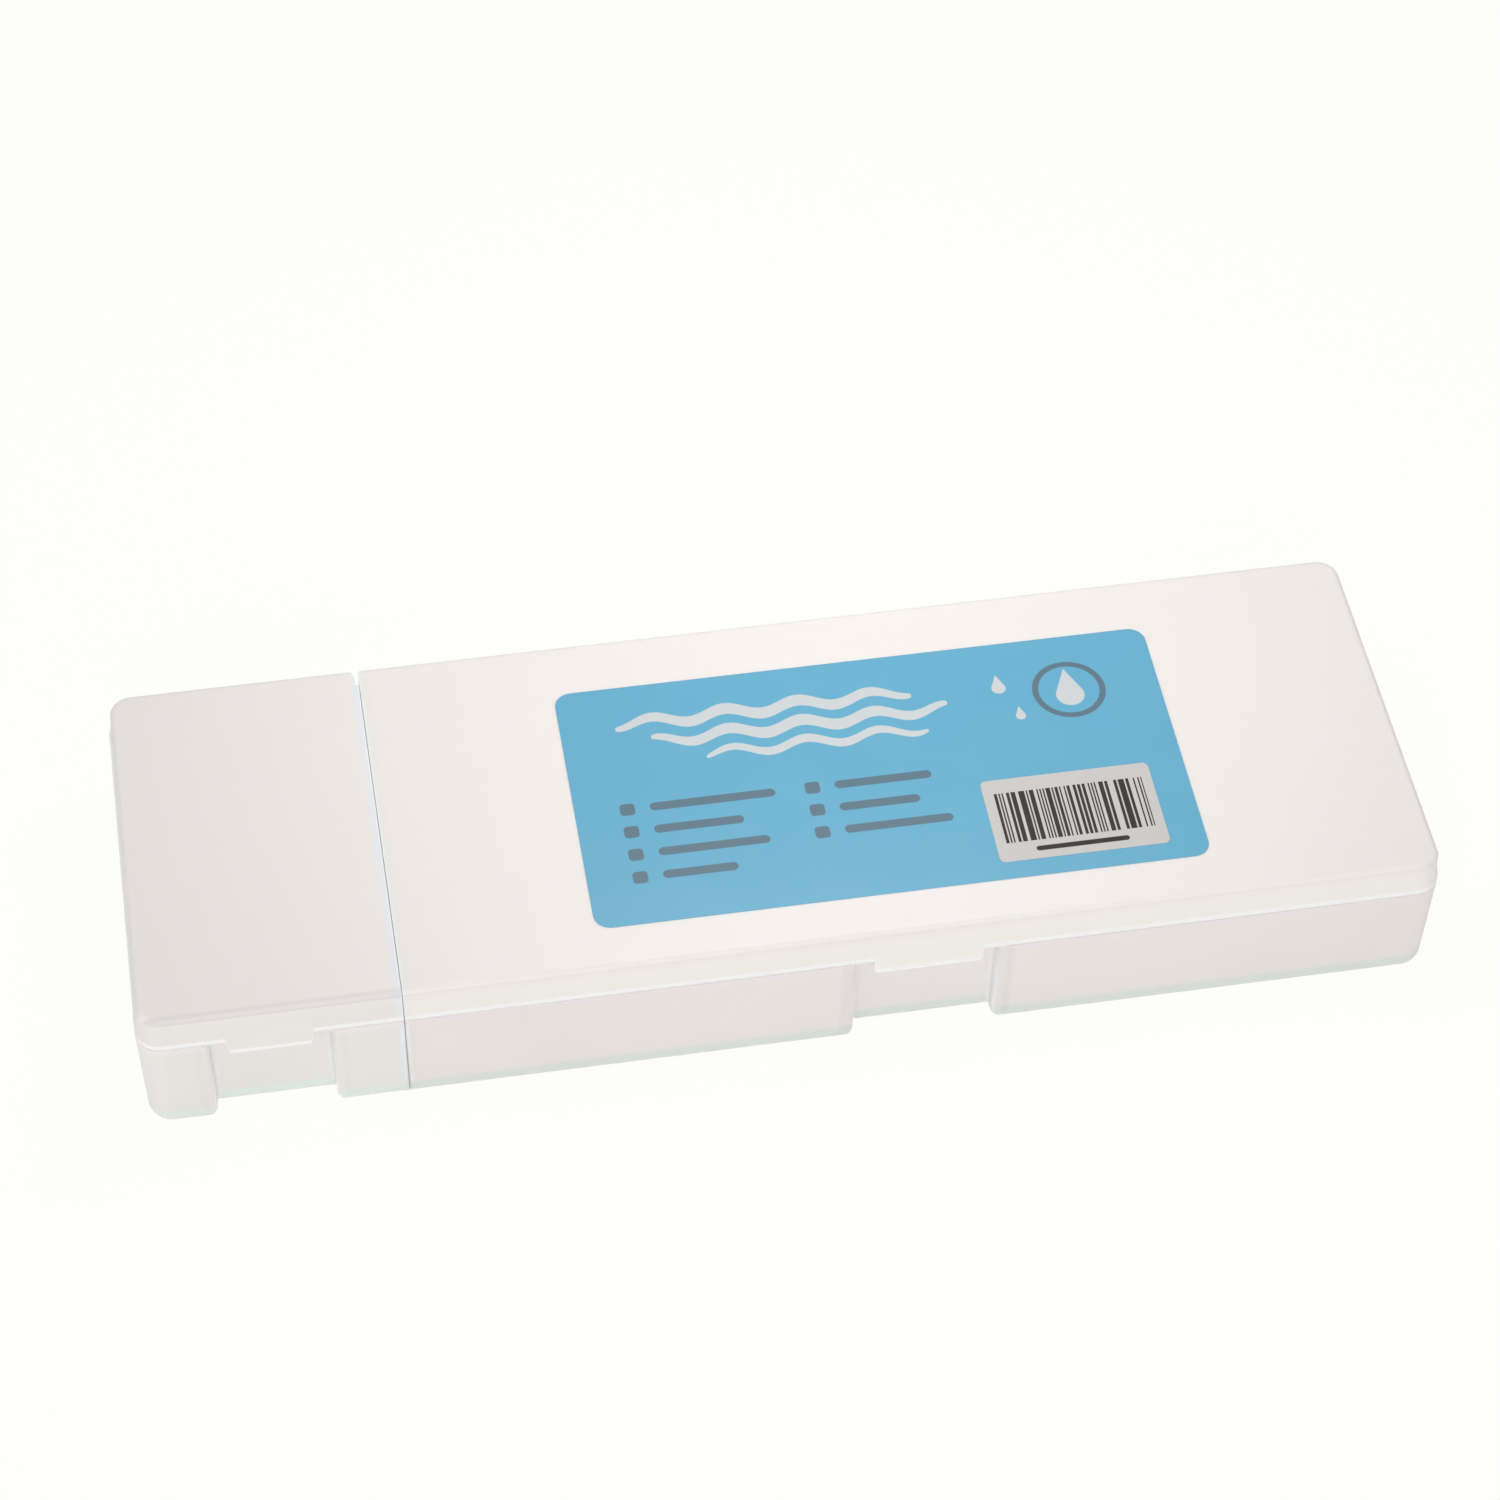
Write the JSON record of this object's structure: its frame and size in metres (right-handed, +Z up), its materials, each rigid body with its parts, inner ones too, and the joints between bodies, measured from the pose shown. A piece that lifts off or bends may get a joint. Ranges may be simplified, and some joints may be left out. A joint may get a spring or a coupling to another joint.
{
  "type": "wet palette",
  "caption": "Wet palette kit of two plug-together translucent boxes with hinged lids: a long palette case with sponge and papers, and a small brush rinsing box.",
  "frame": {"origin": "middle of the footprint, hinge knuckles included, on the surface the boxes stand on", "axes": "+X along the two boxes from the rinsing box to the palette case, +Y from the latches at the front to the hinges at the back, +Z up"},
  "size_m": [0.301, 0.1049, 0.0392],
  "materials": {
    "shell": "satin",
    "plate": "satin",
    "sponge": "matte",
    "guide_paper": "matte",
    "palette_paper": "matte",
    "label": "satin",
    "sticker": "satin"
  },
  "bodies": {
    "palette_case": {"palette_base": "shell", "sponge": "sponge", "guide_paper_1": "guide_paper", "guide_paper_2": "guide_paper", "palette_paper_1": "palette_paper", "palette_paper_2": "palette_paper", "palette_paper_3": "palette_paper", "palette_paper_4": "palette_paper", "palette_paper_5": "palette_paper", "palette_paper_6": "palette_paper", "palette_paper_7": "palette_paper", "palette_paper_8": "palette_paper", "palette_paper_9": "palette_paper", "palette_paper_10": "palette_paper"},
    "palette_cover": {"palette_lid": "shell", "label": "label", "sticker": "sticker"},
    "rinse_tank": {"rinse_base": "shell", "washing_plate": "plate"},
    "rinse_cover": {"rinse_lid": "shell"}
  },
  "joints": [
    {"name": "palette_lid_hinge", "type": "hinge", "parent": "palette_case", "child": "palette_cover", "pos_m": [0.02995, 0.05015, 0.0296], "axis": [-1, 0, 0], "range_deg": [0, 180]},
    {"name": "rinse_box_slide", "type": "slide", "parent": "palette_case", "child": "rinse_tank", "axis": [0, 0, 1], "range_m": [0, 0.0215]},
    {"name": "rinse_lid_hinge", "type": "hinge", "parent": "rinse_tank", "child": "rinse_cover", "pos_m": [-0.1206, 0.05015, 0.0296], "axis": [-1, 0, 0], "range_deg": [0, 180]}
  ]
}
